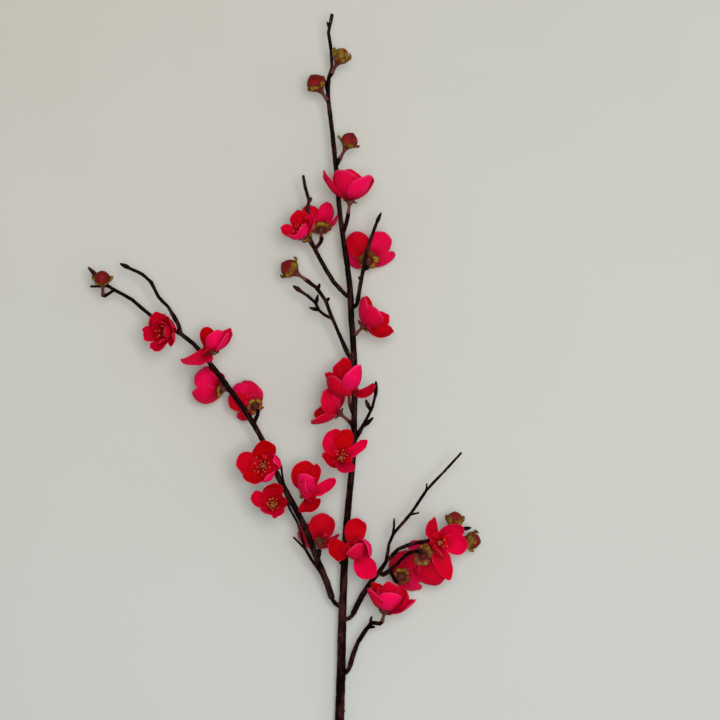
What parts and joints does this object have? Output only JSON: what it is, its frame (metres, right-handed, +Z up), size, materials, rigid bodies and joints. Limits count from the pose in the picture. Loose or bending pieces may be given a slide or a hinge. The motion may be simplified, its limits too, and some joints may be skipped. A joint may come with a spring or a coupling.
{
  "type": "cherry blossom sprig",
  "caption": "Long branching blossom sprig lying flat: dark twigs with leaf buds, cupped crimson blossoms and round buds on short stalks.",
  "frame": {"origin": "middle of the footprint, on the surface that the sprig lies on", "axes": "+Y from the cut end of the main stem to its tip, +Z up, away from the surface, +X to the side of the short right-hand branch"},
  "size_m": [0.2626, 0.5304, 0.0572],
  "materials": {
    "bark": "moulded bark, dark purplish brown",
    "petal": "matte crimson petal fabric",
    "calyx": "olive sepals with brown edges, on a brown stalk",
    "bud": "closed crimson petals in olive sepals"
  },
  "bodies": {
    "root": {"main_stem": "bark", "left_branch": "bark", "left_tip_twig": "bark", "right_branch": "bark", "right_curved_twig": "bark", "right_short_twig": "bark", "low_twig": "bark", "upper_left_twig": "bark", "upper_right_twig": "bark", "middle_left_twig": "bark", "middle_right_twig": "bark", "blossom_01_corolla": "petal", "blossom_01_calyx": "calyx", "blossom_02_corolla": "petal", "blossom_02_calyx": "calyx", "blossom_03_corolla": "petal", "blossom_03_calyx": "calyx", "blossom_04_corolla": "petal", "blossom_04_calyx": "calyx", "blossom_05_corolla": "petal", "blossom_05_calyx": "calyx", "blossom_06_corolla": "petal", "blossom_06_calyx": "calyx", "blossom_07_corolla": "petal", "blossom_07_calyx": "calyx", "blossom_08_corolla": "petal", "blossom_08_calyx": "calyx", "blossom_09_corolla": "petal", "blossom_09_calyx": "calyx", "blossom_10_corolla": "petal", "blossom_10_calyx": "calyx", "blossom_11_corolla": "petal", "blossom_11_calyx": "calyx", "blossom_12_corolla": "petal", "blossom_12_calyx": "calyx", "blossom_13_corolla": "petal", "blossom_13_calyx": "calyx", "blossom_14_corolla": "petal", "blossom_14_calyx": "calyx", "blossom_15_corolla": "petal", "blossom_15_calyx": "calyx", "blossom_16_corolla": "petal", "blossom_16_calyx": "calyx", "blossom_17_corolla": "petal", "blossom_17_calyx": "calyx", "blossom_18_corolla": "petal", "blossom_18_calyx": "calyx", "blossom_19_corolla": "petal", "blossom_19_calyx": "calyx", "blossom_20_corolla": "petal", "blossom_20_calyx": "calyx", "blossom_21_corolla": "petal", "blossom_21_calyx": "calyx", "bud_1": "bud", "bud_2": "bud", "bud_3": "bud", "bud_4": "bud", "bud_5": "bud", "bud_6": "bud", "bud_7": "bud"}
  },
  "joints": []
}
